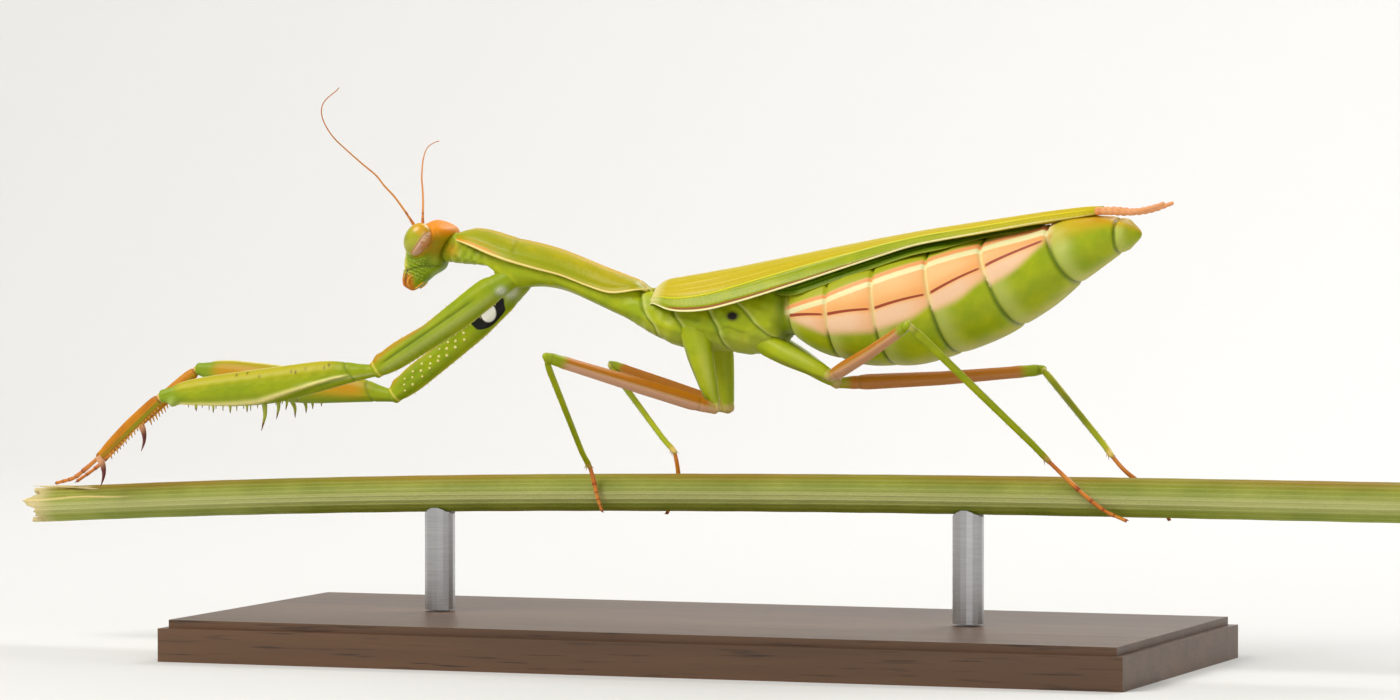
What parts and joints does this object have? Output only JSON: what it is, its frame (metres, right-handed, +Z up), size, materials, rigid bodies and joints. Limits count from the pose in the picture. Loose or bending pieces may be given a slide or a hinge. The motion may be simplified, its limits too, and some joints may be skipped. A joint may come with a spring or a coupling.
{
  "type": "praying mantis on a stem",
  "caption": "Life-size still model of a green female praying mantis stalking along a cut plant stem, held over a flat base by two short rods.",
  "frame": {"origin": "centre of the underside of the stand's base", "axes": "+Z up; X runs along the stem with the head towards -X; the animal's left side faces -Y"},
  "size_m": [0.1435, 0.04, 0.055],
  "materials": {
    "body": "satin leaf-green cuticle with fine pale grain",
    "shield": "olive-gold plate with a cream rim",
    "abdomen": "yellow-green plates with a peach side band",
    "eye": "glossy yellow-green eye with a mauve band",
    "feeler": "amber, ringed",
    "wing": "green and gold parchment with fine veins",
    "leg": "green to amber cuticle",
    "foot": "amber to red-brown",
    "stem": "fresh green stem, finely ribbed",
    "stand_base": "oiled dark wood",
    "stand_rod": "brushed"
  },
  "bodies": {
    "root": {"abdomen": "abdomen", "antenna_left": "feeler", "antenna_right": "feeler", "cercus_left": "feeler", "cercus_right": "feeler", "eye_left": "eye", "eye_right": "eye", "fore_coxa_left": "leg", "fore_coxa_right": "leg", "fore_femur_left": "leg", "fore_femur_right": "leg", "fore_tarsus_left": "foot", "fore_tarsus_right": "foot", "fore_tibia_left": "leg", "fore_tibia_right": "leg", "forewing_left": "wing", "forewing_right": "wing", "head": "body", "hind_coxa_left": "leg", "hind_coxa_right": "leg", "hind_femur_left": "leg", "hind_femur_right": "leg", "hind_tarsus_left": "foot", "hind_tarsus_right": "foot", "hind_tibia_left": "leg", "hind_tibia_right": "leg", "hindwing_left": "wing", "hindwing_right": "wing", "mid_coxa_left": "leg", "mid_coxa_right": "leg", "mid_femur_left": "leg", "mid_femur_right": "leg", "mid_tarsus_left": "foot", "mid_tarsus_right": "foot", "mid_tibia_left": "leg", "mid_tibia_right": "leg", "neck": "body", "perch_stem": "stem", "pronotum": "shield", "prothorax": "body", "stand_base": "stand_base", "stand_rod_front": "stand_rod", "stand_rod_rear": "stand_rod", "thorax": "body"}
  },
  "joints": []
}
